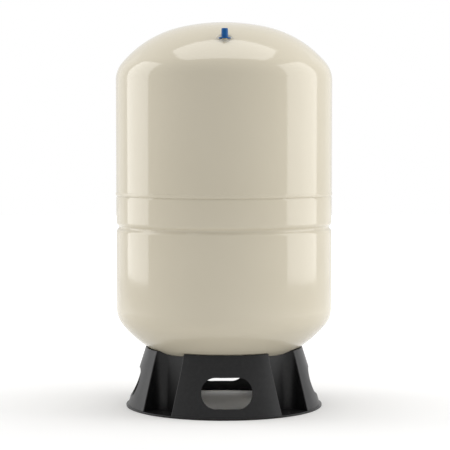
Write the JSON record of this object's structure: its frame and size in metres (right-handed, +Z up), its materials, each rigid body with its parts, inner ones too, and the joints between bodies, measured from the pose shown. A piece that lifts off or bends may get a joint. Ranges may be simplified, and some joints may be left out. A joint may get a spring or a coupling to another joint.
{
  "type": "well pressure tank",
  "caption": "Upright steel diaphragm tank with domed ends on a round moulded stand, with a capped air valve on top and a threaded water connection below.",
  "frame": {"origin": "middle of the stand's round foot, on the floor", "axes": "+Z up along the tank's axis; -Y is the front, where the air valve stands"},
  "size_m": [0.391, 0.391, 0.6923],
  "materials": {
    "tank_enamel": "gloss",
    "stand_plastic": "satin",
    "cap_plastic": "satin",
    "plain_steel": "bare",
    "plated_steel": "zinc plated",
    "stainless": "turned",
    "valve_brass": "turned",
    "butyl_rubber": "matte",
    "seal_rubber": "matte",
    "liner_plastic": "natural"
  },
  "bodies": {
    "tank": {"upper_shell": "tank_enamel", "lower_shell": "tank_enamel", "clench_ring": "plain_steel", "diaphragm": "butyl_rubber", "liner": "liner_plastic", "water_connection": "stainless", "connection_oring": "seal_rubber", "port_guard": "liner_plastic", "connection_washer": "plated_steel", "connection_nut": "plated_steel", "base_stand": "stand_plastic", "base_studs": "plated_steel", "base_washers": "plated_steel", "base_nuts": "plated_steel", "valve_body": "valve_brass", "core_housing": "valve_brass", "core_gasket": "seal_rubber", "core_spring": "plain_steel"},
    "valve_cap": {"valve_cap": "cap_plastic", "cap_seal": "seal_rubber"},
    "valve_pin": {"core_pin": "valve_brass", "pin_seal": "seal_rubber"}
  },
  "joints": [
    {"name": "cap_lift", "type": "slide", "parent": "tank", "child": "valve_cap", "axis": [0, 0, 1], "range_m": [0, 0.03]},
    {"name": "pin_press", "type": "slide", "parent": "tank", "child": "valve_pin", "axis": [0, 0, -1], "range_m": [0, 0.0012], "stiffness_N_per_m": 1500, "springref_m": -0.001, "deforming": ["core_spring"]}
  ]
}
